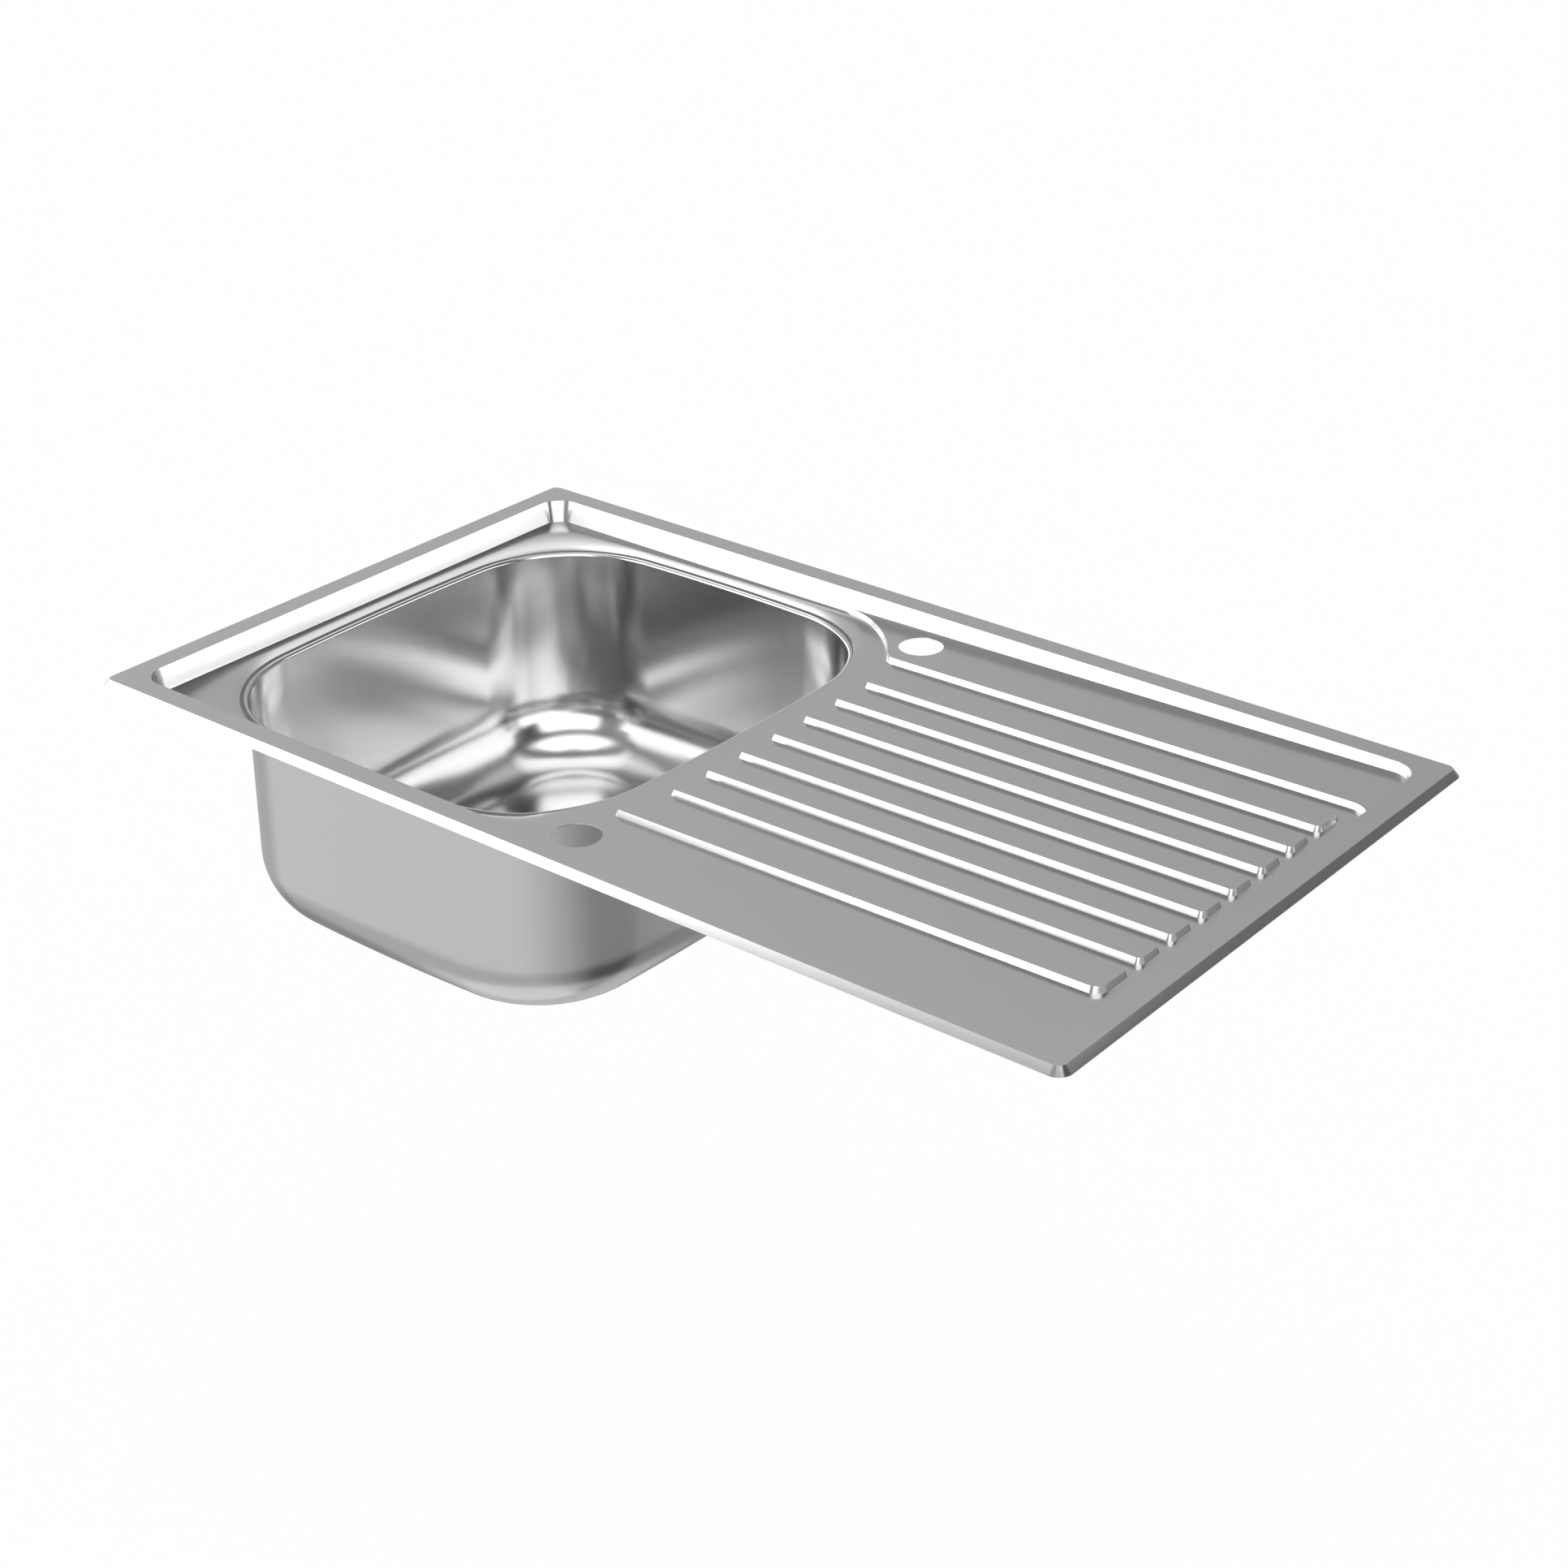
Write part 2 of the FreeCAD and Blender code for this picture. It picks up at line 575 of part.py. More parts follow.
    # Bowl opening: a gentle step down to the edge that the bowl is welded to.
    wall, middle = "dims.wall_sheet", f"{FLOOR} - dims.deck_sheet / 2"
    step_top = bowl_sketch(body, "step_under_top", f"{STEP_EDGE} + {wall}", middle)
    step_foot = bowl_sketch(body, "step_under_foot", f"{DECK_EDGE} + {wall}", FLANGE_TOP)
    loft(body, "Additive", "step_under", step_top, step_foot)
    step_top = bowl_sketch(body, "step_mouth", STEP_EDGE, f"{FLOOR} + dims.overlap")
    step_foot = bowl_sketch(body, "step_foot", DECK_EDGE, STEP_FOOT)
    loft(body, "Subtractive", "step", step_top, step_foot)
    opening = bowl_sketch(body, "opening", DECK_EDGE, FLOOR)
    pocket(body, opening, "bowl_opening", "dims.recess_depth")

    # Tap holes.
    holes = new_sketch(body, "tap_hole_places", z=RIM_TOP)
    x, y = f"{FOLD_X} + dims.back_hole_offset", f"{RECESS_Y} - dims.back_hole_inset"
    draw_circle(holes, "back_hole", "dims.tap_hole / 2", x, y)
    x, y = f"{FOLD_X} + dims.front_hole_offset", f"dims.front_hole_inset - {RECESS_Y}"
    draw_circle(holes, "front_hole", "dims.tap_hole / 2", x, y)
    pocket(body, holes, "tap_holes", f"dims.recess_depth * {THROUGH}")
    return body


# ---- bowl ----------------------------------------------------------------------------------------


def level_edges(shape, z, inner):
    """Names of the edges round the level face at height z: those of its opening when inner is set."""
    near = number("dims.overlap")
    names = []
    for face in shape.Faces:
        box = face.BoundBox
        if abs(box.ZMin - z) > near or abs(box.ZMax - z) > near:
            continue
        for wire in face.Wires:
            if wire.isSame(face.OuterWire) == inner:
                continue
            for place, edge in enumerate(shape.Edges, start=1):
                if any(edge.isSame(other) for other in wire.Edges):
                    names.append(f"Edge{place}")
    return names


def round_edges(body, name, feature, height, radius, inner=False):
    """Rounds the edges round the level face at a height."""
    doc.recompute()
    fillet = body.newObject("PartDesign::Fillet", name)
    fillet.Base = (feature, level_edges(feature.Shape, number(height), inner))
    fillet.setExpression("Radius", radius)
    return fillet


def make_bowl():
    """The bowl: a deep pressing with a welding flange, a rounded lip and a sunk seat for the waste."""
    body = new_body("bowl")
    outside = bowl_sketch(body, "outside", "dims.bowl_sheet", FLANGE_TOP)
    pad(body, outside, "block", f"{FLANGE_TOP} - {BOWL_UNDER}", Reversed=True)
    flange = bowl_sketch(body, "flange_outline", "dims.flange_width", FLANGE_TOP)
    pad(body, flange, "flange", "dims.bowl_sheet", Reversed=True)
    lip = bowl_sketch(body, "lip_outline", "dims.lip_width", f"{FLANGE_TOP} - dims.bowl_sheet")
    pad(body, lip, "lip", f"{LIP_TOP} - {FLANGE_TOP} + dims.bowl_sheet")
    inside = bowl_sketch(body, "inside", "0", LIP_TOP)
    hollow = pocket(body, inside, "hollow", "dims.bowl_depth - dims.bowl_sheet")
    inner_radius = "dims.bowl_bottom_radius - dims.bowl_sheet"
    hollow = round_edges(body, "floor_round", hollow, BOWL_FLOOR, inner_radius)
    hollow = round_edges(body, "bottom_round", hollow, BOWL_UNDER, "dims.bowl_bottom_radius")
    round_edges(body, "lip_round", hollow, LIP_TOP, "dims.lip_radius", inner=True)
    add_seat(body)
    return body


def add_seat(body):
    """Sinks the waste seat into the bowl's floor; the hole for the waste is left open inside it."""
    outside = new_sketch(body, "seat_outside", "XZ_Plane", x=BOWL_X)
    wall = "dims.bowl_sheet"
    draw_polygon(outside, [
        ("dims.waste_hole", SEAT_UNDER, None),
        (f"dims.seat_radius - dims.seat_taper + {wall} / 2", SEAT_UNDER, None),
        (f"dims.seat_radius + {wall} / 2", f"{BOWL_UNDER} + {wall} / 2", None),
        ("dims.waste_hole", f"{BOWL_UNDER} + {wall} / 2", None),
    ])
    rim = body.newObject("PartDesign::Revolution", "seat_wall")
    rim.Profile = outside
    rim.ReferenceAxis = (outside, ["V_Axis"])
    inside = new_sketch(body, "seat_inside", "XZ_Plane", x=BOWL_X)
    draw_polygon(inside, [
        ("0", SEAT_FLOOR, None),
        ("dims.seat_radius - dims.seat_taper", SEAT_FLOOR, None),
        ("dims.seat_radius", BOWL_FLOOR, None),
        ("0", BOWL_FLOOR, None),
    ])
    sink = body.newObject("PartDesign::Groove", "seat")
    sink.Profile = inside
    sink.ReferenceAxis = (inside, ["V_Axis"])


def make_weld_seam():
    """The ground weld that fills the groove between the deck's edge and the bowl's lip."""
    body = new_body("weld_seam")
    outer = bowl_sketch(body, "seam_outer", f"({DECK_EDGE} - dims.seam_gap)", FLANGE_TOP)
    pad(body, outer, "seam", "dims.seam_rise")
    beside_lip, top = "(dims.lip_width + dims.seam_gap)", f"{FLANGE_TOP} + dims.seam_rise"
    inner = bowl_sketch(body, "seam_inner", beside_lip, top)
    pocket(body, inner, "seam_opening", f"dims.seam_rise * {THROUGH}")
    return body


# ---- turned pieces of the waste fitting ----------------------------------------------------------


def turned(body, name, corners):
    """Turns an outline in radius and height about the waste's axis."""
    sketch = new_sketch(body, f"{name}_profile", "XZ_Plane", x=BOWL_X)
    draw_polygon(sketch, corners)
    feature = body.newObject("PartDesign::Revolution", name)
    feature.Profile = sketch
    feature.ReferenceAxis = (sketch, ["V_Axis"])
    return feature


def ring(name, inner, outer, low, high):
    body = new_body(name)
    corners = [(inner, low, None), (outer, low, None), (outer, high, None), (inner, high, None)]
    turned(body, "ring", corners)
    return body


def spokes(body, name, reach, low, rise, hub):
    """A hub on the axis with two crossing spokes."""
    first = new_sketch(body, f"{name}_along", x=BOWL_X, z=low)
    draw_rectangle(first, reach, "dims.spoke_width / 2")
    pad(body, first, f"{name}_bar_along", rise)
    second = new_sketch(body, f"{name}_across", x=BOWL_X, z=low)
    draw_rectangle(second, "dims.spoke_width / 2", reach)
    pad(body, second, f"{name}_bar_across", rise)
    centre = new_sketch(body, f"{name}_hub_place", x=BOWL_X, z=low)
    draw_circle(centre, "hub", hub)
    pad(body, centre, f"{name}_hub", rise)


def axis_hole(body, name, radius, top, length):
    hole = new_sketch(body, f"{name}_place", x=BOWL_X, z=top)
    draw_circle(hole, name, radius)
    pocket(body, hole, name, length)


def make_strainer_cup():
    """The cup that lines the waste hole; its base opens into the outlet past a cross of spokes."""
    body = new_body("strainer_cup")
    thick = "dims.strainer_sheet"
    below = f"{STRAINER_TOP} - {thick}"
    base = f"{STRAINER_FLOOR} - {thick}"
    turned(body, "cup", [
        ("dims.outlet_opening", base, None),
        ("dims.strainer_radius - dims.cup_base_slope", base, None),
        ("dims.strainer_radius", f"{base} + dims.cup_base_slope", None),
        ("dims.strainer_radius", below, None),
        ("dims.strainer_flange", below, None),
        ("dims.strainer_flange", STRAINER_TOP, None),
        (f"dims.strainer_radius - {thick}", STRAINER_TOP, None),
        (f"dims.strainer_radius - {thick}", f"{base} + dims.cup_base_slope", None),
        ("dims.strainer_radius - dims.cup_base_slope", STRAINER_FLOOR, None),
        ("dims.outlet_opening", STRAINER_FLOOR, None),
    ])
    spokes(body, "cross", "dims.outlet_opening + dims.strainer_sheet", base, thick, "dims.hub_radius")
    hole = "dims.screw_radius + dims.screw_clearance"
    axis_hole(body, "screw_hole", hole, STRAINER_FLOOR, f"{thick} * {THROUGH}")
    return body


def make_waste_body():
    """The moulded body below the bowl: cup, cone and threaded outlet, with a cross for the screw."""
    body = new_body("waste_body")
    wall = "dims.body_wall"
    cup = "dims.strainer_radius + dims.body_clearance"
    cup_floor = f"{BODY_TOP} - dims.body_depth"
    cone_low = f"{cup_floor} - dims.body_cone"
    outlet_low = f"{cone_low} - dims.outlet_length"
    flange_low = f"{BODY_TOP} - dims.body_flange"
    turned(body, "shell", [
        ("dims.outlet_bore", outlet_low, None),
        ("dims.outlet_radius", outlet_low, None),
        ("dims.outlet_radius", cone_low, None),
        (f"{cup} + {wall}", cup_floor, None),
        (f"{cup} + {wall}", flange_low, None),
        ("dims.body_flange_radius", flange_low, None),
        ("dims.body_flange_radius", BODY_TOP, None),
        (cup, BODY_TOP, None),
        (cup, cup_floor, None),
        ("dims.outlet_bore", f"{cone_low} + {wall}", None),
    ])
    cross_low = f"{cone_low} - {wall}"
    spokes(body, "cross", f"dims.outlet_bore + {wall}", cross_low, "dims.hub_rise", "dims.hub_radius")
    hole = "dims.screw_radius + dims.thread_clearance"
    axis_hole(body, "screw_hole", hole, f"{cross_low} + dims.hub_rise", "dims.hub_rise")
    return body


def make_clamp_screw():
    """The long screw that draws the body up to the cup through both crosses."""
    body = new_body("waste_screw")
    low = f"{STRAINER_FLOOR} - dims.screw_length"
    turned(body, "screw", [
        ("0", low, None),
        ("dims.screw_radius", low, None),
        ("dims.screw_radius", STRAINER_FLOOR, None),
        ("dims.screw_head", STRAINER_FLOOR, None),
        ("dims.screw_head", f"{STRAINER_FLOOR} + dims.screw_head_rise", None),
        ("0", f"{STRAINER_FLOOR} + dims.screw_head_rise", None),
    ])
    return body


def make_basket():
    """The lift-out basket: a pierced cup with a brim."""
    body = new_body("basket")
    thick = "dims.basket_sheet"
    top = f"{BASKET_LOW} + dims.basket_rise"
    profile = turned(body, "cup", [
        ("0", BASKET_LOW, None),
        ("dims.basket_base", BASKET_LOW, None),
        (f"dims.basket_mouth + {thick}", f"{top} - {thick}", None),
        ("dims.basket_brim", f"{top} - {thick}", None),
        ("dims.basket_brim", top, None),
        ("dims.basket_mouth", top, None),
        (f"dims.basket_base - {thick}", f"{BASKET_LOW} + {thick}", None),
        ("0", f"{BASKET_LOW} + {thick}", None),
    ]).Profile[0]
    level = f"{BASKET_LOW} + dims.basket_hole_rise"
    hole = new_sketch(body, "hole_place", "YZ_Plane", y=level, z=BOWL_X)
    draw_circle(hole, "hole", "dims.basket_hole")
    pierced = pocket(body, hole, "side_hole", "dims.basket_brim", Reversed=True)
    pattern = body.newObject("PartDesign::PolarPattern", "side_holes")
    pattern.Originals = [pierced]
    pattern.Axis = (profile, ["V_Axis"])
    pattern.setExpression("Occurrences", "dims.basket_holes")
    body.Tip = pattern
    return body


def make_stem():
    """The stem that joins the basket's floor to its knob."""
    body = new_body("basket_stem")
    low = f"{BASKET_LOW} + dims.basket_sheet"
    place = new_sketch(body, "stem_place", x=BOWL_X, z=low)
    draw_circle(place, "stem", "dims.stem_radius")
    pad(body, place, "stem", "dims.stem_length")
    return body


def make_knob():
    body = new_body("basket_knob")
    low = f"{BASKET_LOW} + dims.basket_sheet + dims.stem_length"
    turned(body, "knob", [
        ("0", low, None),
        ("dims.knob_radius - dims.knob_slope", low, None),
        ("dims.knob_radius", f"{low} + dims.knob_rise / 2", None),
        ("dims.knob_radius", f"{low} + dims.knob_rise - dims.knob_slope / 2", None),
        ("dims.knob_radius - dims.knob_slope / 2", f"{low} + dims.knob_rise", None),
        ("0", f"{low} + dims.knob_rise", None),
    ])
    return body


# ---- seal, damping pad and fixing rails ----------------------------------------------------------


def make_gasket():
    """The seal under the rim; it is pressed between the rim's underside and the worktop."""
    body = new_body("rim_gasket")
    top = "(dims.rim_rise - dims.deck_sheet)"
    outlines = (("outer", "dims.gasket_inset", "dims.gasket_corner + dims.gasket_width"),
                ("inner", "(dims.gasket_inset + dims.gasket_width)", "dims.gasket_corner"))
    for name, inset, corner in outlines:
        sketch = new_sketch(body, name, z=top)
        draw_rectangle(sketch, f"dims.rim_length / 2 - {inset}", f"dims.rim_width / 2 - {inset}", corner)
        if name == "outer":
            pad(body, sketch, "strip", top, Reversed=True)
        else:
            pocket(body, sketch, "strip_opening", top)
    return body


def make_damping_pad():
    """The sound-deadening pad stuck under the bowl's floor, open round the waste."""
    body = new_body("damping_pad")
    outline = bowl_sketch(body, "outline", "(0 - dims.bowl_bottom_radius - dims.pad_margin)", BOWL_UNDER)
    pad(body, outline, "pad", "dims.pad_rise", Reversed=True)
    axis_hole(body, "pad_opening", "dims.pad_hole", BOWL_UNDER, "dims.pad_rise")
    return body


def make_rail(name, side, rise):
    """A channel welded under the drainboard; side is -1 at the front, 1 at the back; rise lifts its top."""
    body = new_body(name)
    low = "(0 - dims.rail_level)"
    start = f"({FOLD_X} + dims.rail_start_gap)"
    end = f"({RECESS_X} - dims.rail_end_inset)"
    middle, half_x = f"({start} + {end}) / 2", f"({end} - {start}) / 2"
    across = f"{side} * {CLIP_LINE}"
    block = new_sketch(body, "outline", x=middle, y=across, z=low)
    draw_rectangle(block, half_x, "dims.rail_width / 2")
    pad(body, block, "block", "dims.rail_level")
    channel = new_sketch(body, "channel_outline", x=middle, y=across, z=f"{low} + dims.rail_sheet")
    draw_rectangle(channel, f"{half_x} + dims.rail_sheet", "dims.rail_width / 2 - dims.rail_sheet")
    pocket(body, channel, "channel", "dims.rail_level", Reversed=True)
    above = drainboard_sketch(body, "deck_underside", f"{rise} - dims.deck_sheet")
    wide = "dims.rim_width / 2"
    draw_polygon(above, [("0", f"-{wide}", None), (BOARD_END, f"-{wide}", None), (BOARD_END, wide, None),
                         ("0", wide, None)])
    pocket(body, above, "top_trim", f"dims.rail_level * {THROUGH}", Reversed=True)
    return body


# ---- fixing clips --------------------------------------------------------------------------------

# Each clip: its number, place along the deck, side (-1 front, 1 back) and the height it hangs from.
CLIP_LEFT = "(dims.clip_left_inset - dims.rim_length / 2)"
CLIP_MIDDLE = f"({FOLD_X} + dims.clip_middle_gap)"
CLIP_RIGHT = "(dims.rim_length / 2 - dims.clip_right_inset)"
RAIL_UNDER = "(0 - dims.rail_level)"
PIVOT = f"({RAIL_UNDER} - dims.pivot_drop)"
CLIPS = (
    (1, CLIP_LEFT, -1, FLOOR_UNDER),
    (2, CLIP_MIDDLE, -1, RAIL_UNDER),
    (3, CLIP_RIGHT, -1, RAIL_UNDER),
    (4, CLIP_LEFT, 1, FLOOR_UNDER),
    (5, CLIP_MIDDLE, 1, RAIL_UNDER),
    (6, CLIP_RIGHT, 1, RAIL_UNDER),
)


def make_brackets():
    """The six brackets: each a plate with two ears that carry an arm's pin."""
    body = new_body("clip_brackets")
    body.AllowCompound = True
    for count, x, side, top in CLIPS:
        y = f"{side} * {CLIP_LINE}"
        plate = new_sketch(body, f"plate_outline_{count}", x=x, y=y, z=top)
        draw_rectangle(plate, "dims.bracket_width / 2", "dims.bracket_depth / 2")
        pad(body, plate, f"plate_{count}", "dims.bracket_sheet", Reversed=True)
        for hand in (-1, 1):
            add_ear(body, f"{count}_{'left' if hand < 0 else 'right'}", x, y, top, hand)
    return body


def add_ear(body, label, x, y, top, hand):
    """One ear of a bracket, rounded about the pivot, with the pin's hole."""
    face = f"{x} + {hand} * dims.bracket_width / 2"
    half, round_size = "dims.bracket_depth / 2", "dims.ear_radius"
    low = f"({PIVOT} - {top} - dims.ear_radius)"
    ear = new_sketch(body, f"ear_outline_{label}", "YZ_Plane", x=y, y=top, z=face)
    draw_polygon(ear, [(f"-({half})", "0", None), (f"-({round_size})", low, round_size),
                       (round_size, low, round_size), (half, "0", None)])
    pad(body, ear, f"ear_{label}", "dims.bracket_sheet", Reversed=hand > 0)
    hole = new_sketch(body, f"pin_hole_place_{label}", "YZ_Plane", x=y, y=PIVOT, z=face)
    draw_circle(hole, "hole", "dims.pin_radius + dims.pin_clearance")
    pocket(body, hole, f"pin_hole_{label}", "dims.bracket_sheet", Reversed=hand < 0)


def make_arm(count, x, side):
    """A clip's arm, folded in under the deck: pins at its root, a threaded boss at its end."""
    body = new_body(f"clip_arm_{count}")
    inward = -side
    y = f"{side} * {CLIP_LINE}"
    outline = new_sketch(body, "plan", x=x, y=y, z=PIVOT)
    wide, neck = "dims.arm_width / 2", "dims.arm_neck / 2"
    rows = [(f"{-inward} * dims.arm_tail", wide), (f"{inward} * dims.arm_waist", wide),
            (f"{inward} * dims.arm_reach", neck)]
    draw_polygon(outline, [(f"-({half})", place, None) for place, half in rows]
                 + [(half, place, None) for place, half in reversed(rows)])
    pad(body, outline, "plate", "dims.arm_rise", Midplane=True)
    end = new_sketch(body, "boss_place", x=x, y=f"{y} + {inward} * dims.arm_reach", z=PIVOT)
    draw_circle(end, "boss", "dims.boss_radius")
    pad(body, end, "boss", "dims.boss_rise", Midplane=True)
    pins = new_sketch(body, "pin_place", "YZ_Plane", x=y, y=PIVOT, z=x)
    draw_circle(pins, "pin", "dims.pin_radius")
    pad(body, pins, "pins", "dims.bracket_width + dims.pin_end * 2", Midplane=True)
    thread = new_sketch(body, "thread_place", x=x, y=f"{y} + {inward} * dims.arm_reach", z=PIVOT)
    draw_circle(thread, "thread", "dims.clamp_radius + dims.clamp_clearance")
    pocket(body, thread, "thread", f"dims.boss_rise * {THROUGH}", Midplane=True)
    return body


def make_clamp(count, x, side):
    """A clip's clamping screw with the foot that bears on the worktop's underside."""
    body = new_body(f"clamp_screw_{count}")
    y = f"{side} * ({CLIP_LINE} - dims.arm_reach)"
    high = f"{PIVOT} + dims.clamp_above"
    shank = new_sketch(body, "shank_place", x=x, y=y, z=high)
    draw_circle(shank, "shank", "dims.clamp_radius")
    pad(body, shank, "shank", "dims.clamp_length", Reversed=True)
    foot = new_sketch(body, "foot_place", x=x, y=y, z=f"{high} - dims.clamp_length")
    draw_circle(foot, "foot", "dims.foot_radius")
    pad(body, foot, "foot", "dims.foot_rise")
    return body


# ---- the sink ------------------------------------------------------------------------------------


def check(item):
    """Stops the build at a feature that didn't compute."""
    if "Invalid" in item.State or "Error" in item.State or "Touched" in item.State:
        raise ValueError(f"{item.Name} is {item.State}")
    if item.isDerivedFrom("PartDesign::Feature") or item.isDerivedFrom("PartDesign::Body"):
        if item.Shape.isNull() or not item.Shape.isValid():
            raise ValueError(f"{item.Name} has no sound shape")
    if item.isDerivedFrom("PartDesign::FeatureSubtractive"):
        if item.Shape.Volume >= item.BaseFeature.Shape.Volume:
            raise ValueError(f"{item.Name} cuts nothing")


parts = [
    make_deck(),
    make_bowl(),
    make_weld_seam(),
    make_gasket(),
    make_damping_pad(),
    make_rail("rail_front", -1, "0"),
    make_rail("rail_back", 1, "dims.press_rise"),
    make_brackets(),
]
for count, x, side, top in CLIPS:
    parts.append(make_arm(count, x, side))
    parts.append(make_clamp(count, x, side))
seal = ("dims.seal_inner", "dims.seal_outer")
parts += [
    ring("waste_seal_top", *seal, SEAT_FLOOR, f"{SEAT_FLOOR} + dims.seal_rise"),
    make_strainer_cup(),
    ring("waste_seal_bottom", *seal, BODY_TOP, SEAT_UNDER),
    make_waste_body(),
    make_clamp_screw(),
    ring("basket_plug", "dims.plug_inner", "dims.plug_outer", STRAINER_FLOOR, BASKET_LOW),
    make_basket(),
    make_stem(),
    make_knob(),
]
doc.recompute()
for item in doc.Objects:
    check(item)

os.makedirs("parts", exist_ok=True)
for part in parts:
    part.Shape.exportStep(f"parts/{part.Label}.step")
    print(part.Label, len(part.Shape.Solids), round(part.Shape.Volume, 1))
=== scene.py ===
import math

import bmesh
import bpy
from mathutils import Matrix, Vector


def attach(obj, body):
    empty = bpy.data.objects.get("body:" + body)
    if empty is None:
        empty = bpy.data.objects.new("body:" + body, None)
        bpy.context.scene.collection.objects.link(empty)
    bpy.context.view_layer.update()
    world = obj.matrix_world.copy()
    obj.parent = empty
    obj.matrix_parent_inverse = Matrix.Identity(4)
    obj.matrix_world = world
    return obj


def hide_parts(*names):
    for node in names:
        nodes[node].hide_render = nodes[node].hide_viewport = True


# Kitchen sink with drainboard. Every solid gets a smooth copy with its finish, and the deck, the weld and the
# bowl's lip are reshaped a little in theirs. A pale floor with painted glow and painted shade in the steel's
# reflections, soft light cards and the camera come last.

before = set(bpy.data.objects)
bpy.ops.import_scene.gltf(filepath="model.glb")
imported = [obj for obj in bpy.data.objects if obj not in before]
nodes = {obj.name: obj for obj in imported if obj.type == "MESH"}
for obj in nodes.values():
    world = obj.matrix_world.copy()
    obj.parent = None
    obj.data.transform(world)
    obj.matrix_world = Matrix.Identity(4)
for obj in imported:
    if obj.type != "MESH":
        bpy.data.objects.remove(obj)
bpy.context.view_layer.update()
scene = bpy.context.scene
scene.view_settings.view_transform = "Standard"

MM = 0.001

# Sizes of the pressing in millimetres, repeated from the part's source. From them the copies of the deck,
# the weld and the bowl are reshaped below.
RIM_TOP = 5.4
RECESS_HALF_X, RECESS_HALF_Y, RECESS_CORNER = 408.0, 228.0, 20.0
RECESS_DEPTH, RECESS_RUN = 17.1, 2.5
RECESS_FLOOR = RIM_TOP - RECESS_DEPTH
STEP_DROP, LIP_DROP = 3.0, 2.3
STEP_FOOT, STEP_EDGE = 5.6, 12.7
BOWL_X, BOWL_HALF_X, BOWL_HALF_Y = -203.6, 180.4, 203.7
SIDE_RADIUS, END_RADIUS, BOWL_CORNER = 2270.0, 1850.0, 99.6


# ---- shader building blocks ----------------------------------------------------------------------


def add_node(tree, kind, **settings):
    node = tree.nodes.new(kind)
    for key, value in settings.items():
        setattr(node, key, value)
    return node


def feed(tree, node, socket, source):
    """Links a source into a socket, or sets a plain number or colour on it."""
    if isinstance(source, bpy.types.NodeSocket):
        tree.links.new(source, node.inputs[socket])
    else:
        node.inputs[socket].default_value = source


def math_node(tree, operation, *sources, clamp=False):
    node = add_node(tree, "ShaderNodeMath", operation=operation, use_clamp=clamp)
    for socket, source in enumerate(sources):
        feed(tree, node, socket, source)
    return node.outputs[0]


def ease(tree, value, low, high, start=0.0, end=1.0):
    """Smooth step of a value between two limits."""
    node = add_node(tree, "ShaderNodeMapRange", interpolation_type="SMOOTHSTEP")
    for socket, source in enumerate((value, low, high, start, end)):
        feed(tree, node, socket, source)
    return node.outputs[0]


def window(tree, value, opening, closing):
    """A value's window: eased from 0 to 1 over the opening pair, and back to 0 over the closing pair."""
    return math_node(tree, "MULTIPLY", ease(tree, value, *opening), ease(tree, value, *closing, 1.0, 0.0))


def radians(pair):
    return tuple(math.radians(angle) for angle in pair)


def mix_values(tree, share, first, second):
    """The first value where the share is 0, and the second where it is 1."""
    node = add_node(tree, "ShaderNodeMix", data_type="FLOAT")
    feed(tree, node, "Factor", share)
    feed(tree, node, 2, first)
    feed(tree, node, 3, second)
    return node.outputs[0]


def new_group(name, inputs, outputs):
    group = bpy.data.node_groups.new(name, "ShaderNodeTree")
    for label, kind, value in inputs:
        socket = group.interface.new_socket(label, in_out="INPUT", socket_type=kind)
        socket.default_value = value
    for label, kind in outputs:
        group.interface.new_socket(label, in_out="OUTPUT", socket_type=kind)
    return group, group.nodes.new("NodeGroupInput"), group.nodes.new("NodeGroupOutput")


# ---- steel, rubber and plastic -------------------------------------------------------------------


# How far the grain is squeezed along each axis: rolled and drawn steel run along the sink's length.
EVEN = (1.0, 1.0, 1.0)
ROLLED = (1.0, 30.0, 30.0)
DRAWN = (1.0, 20.0, 20.0)
TURNED = (1.0, 1.0, 6.0)

GRAIN_SCALE, GRAIN_DETAIL, NOISE_MIDDLE = 40.0, 3.0, 0.5
RUBBER_SCALE, RUBBER_SPREAD = 900.0, 0.2
PLASTIC_SCALE, PLASTIC_SPREAD, PLASTIC_DEPTH = 500.0, 0.12, 0.02 * MM


def make_grain_group():
    """Rolled or brushed grain: noise stretched by a direction scale, as a value about zero."""
    inputs = [("Stretch", "NodeSocketVector", EVEN), ("Scale", "NodeSocketFloat", GRAIN_SCALE)]
    group, given, result = new_group("metal_grain", inputs, [("Value", "NodeSocketFloat")])
    place = add_node(group, "ShaderNodeTexCoord")
    stretched = add_node(group, "ShaderNodeVectorMath", operation="MULTIPLY")
    feed(group, stretched, 0, place.outputs["Object"])
    feed(group, stretched, 1, given.outputs["Stretch"])
    noise = add_node(group, "ShaderNodeTexNoise")
    feed(group, noise, "Vector", stretched.outputs[0])
    feed(group, noise, "Scale", given.outputs["Scale"])
    feed(group, noise, "Detail", GRAIN_DETAIL)
    feed(group, result, "Value", math_node(group, "SUBTRACT", noise.outputs["Fac"], NOISE_MIDDLE))
    return group


GRAIN = make_grain_group()


def grain(tree, stretch, scale):
    node = add_node(tree, "ShaderNodeGroup", node_tree=GRAIN)
    node.inputs["Stretch"].default_value = stretch
    node.inputs["Scale"].default_value = scale
    return node.outputs["Value"]


